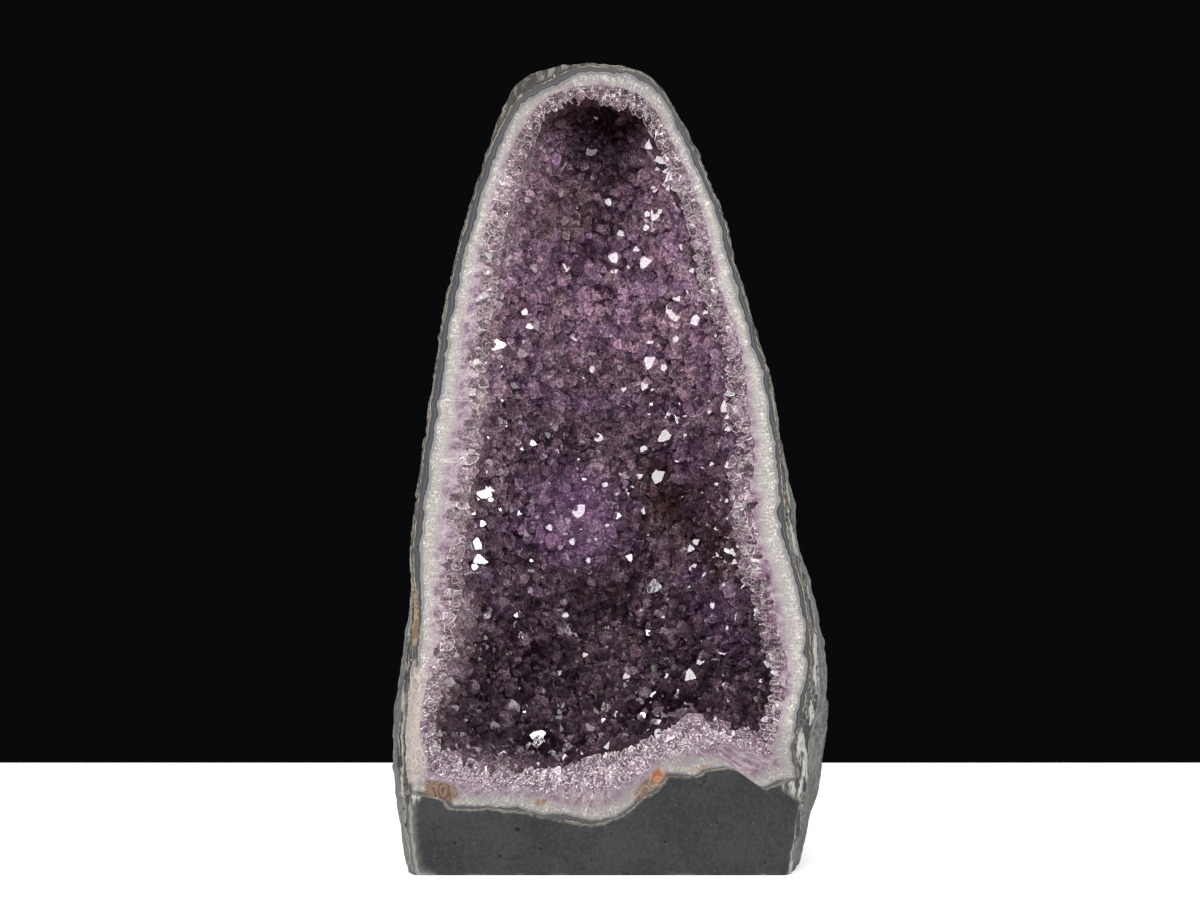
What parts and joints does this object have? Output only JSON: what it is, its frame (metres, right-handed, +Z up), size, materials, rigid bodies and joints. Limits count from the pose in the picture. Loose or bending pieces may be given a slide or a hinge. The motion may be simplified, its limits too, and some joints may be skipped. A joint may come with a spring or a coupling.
{
  "type": "amethyst cathedral geode",
  "caption": "Tall hollow geode sawn flat in front and underneath, with a crust of amethyst points inside a rim of agate and white quartz, in dark grey rock; stands as a display piece",
  "frame": {"origin": "on the floor under the middle of the body's bounding box", "axes": "+Z up through the crown, -Y out of the open sawn front, +X to the right as seen from the front"},
  "size_m": [0.2461, 0.169, 0.4499],
  "materials": {
    "rock": "dark grey rock, sawn matte in front and underneath, rough and speckled on the outside",
    "agate_quartz": "blue-grey banded agate and white fibrous quartz, sawn and polished in front",
    "amethyst": "glossy translucent purple crystal faces with pale and rusty zones"
  },
  "bodies": {
    "root": {"rock_matrix": "rock", "agate_quartz_lining": "agate_quartz", "amethyst_crust": "amethyst"}
  },
  "joints": []
}
